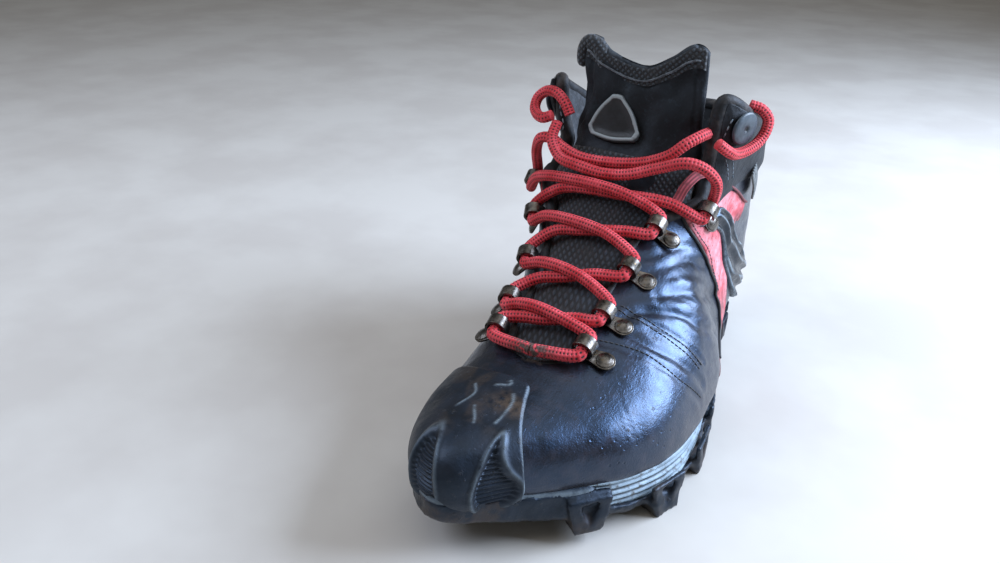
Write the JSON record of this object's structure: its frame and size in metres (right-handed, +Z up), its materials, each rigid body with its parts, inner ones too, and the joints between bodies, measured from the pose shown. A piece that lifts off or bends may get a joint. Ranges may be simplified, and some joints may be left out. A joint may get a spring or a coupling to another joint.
{
  "type": "mid-cut walking boot",
  "caption": "Worn mid-cut leather walking boot for the left foot, standing empty with its laces loose and its tongue raised.",
  "frame": {"origin": "centre of the bounding box at the level the lugs stand on", "axes": "+Z up, toe towards -Y, outer side of the left foot towards +X"},
  "size_m": [0.1409, 0.3016, 0.193],
  "materials": {
    "outsole_rubber": "matte moulded rubber, muddy",
    "midsole_foam": "satin moulded foam with grooves, muddy",
    "upper_leather": "polished full-grain leather, creased and scuffed",
    "tongue_nubuck": "dull buffed leather with a woven mesh lower part",
    "insole_fabric": "brushed textile on foam",
    "cage_plastic": "glossy moulded, ridged",
    "hardware_metal": "antiqued gunmetal, worn bright",
    "lace_fabric": "round braid with dark flecks"
  },
  "bodies": {
    "root": {"outsole": "outsole_rubber", "midsole": "midsole_foam", "upper": "upper_leather", "insole": "insole_fabric", "tongue": "tongue_nubuck", "toe_cap": "outsole_rubber", "cage_lateral": "cage_plastic", "cage_medial": "cage_plastic", "eyelet_lateral_1": "hardware_metal", "eyelet_medial_1": "hardware_metal", "eyelet_lateral_2": "hardware_metal", "eyelet_medial_2": "hardware_metal", "eyelet_lateral_3": "hardware_metal", "eyelet_medial_3": "hardware_metal", "eyelet_lateral_4": "hardware_metal", "eyelet_medial_4": "hardware_metal", "hook_lateral_5": "hardware_metal", "hook_medial_5": "hardware_metal", "stud_lateral_6": "tongue_nubuck", "stud_medial_6": "tongue_nubuck", "lace_bar_1": "lace_fabric", "lace_cross_1": "lace_fabric", "lace_cross_2": "lace_fabric", "lace_cross_3": "lace_fabric", "lace_cross_4": "lace_fabric", "lace_cross_5": "lace_fabric", "lace_end_lateral": "lace_fabric", "lace_end_medial": "lace_fabric"}
  },
  "joints": []
}
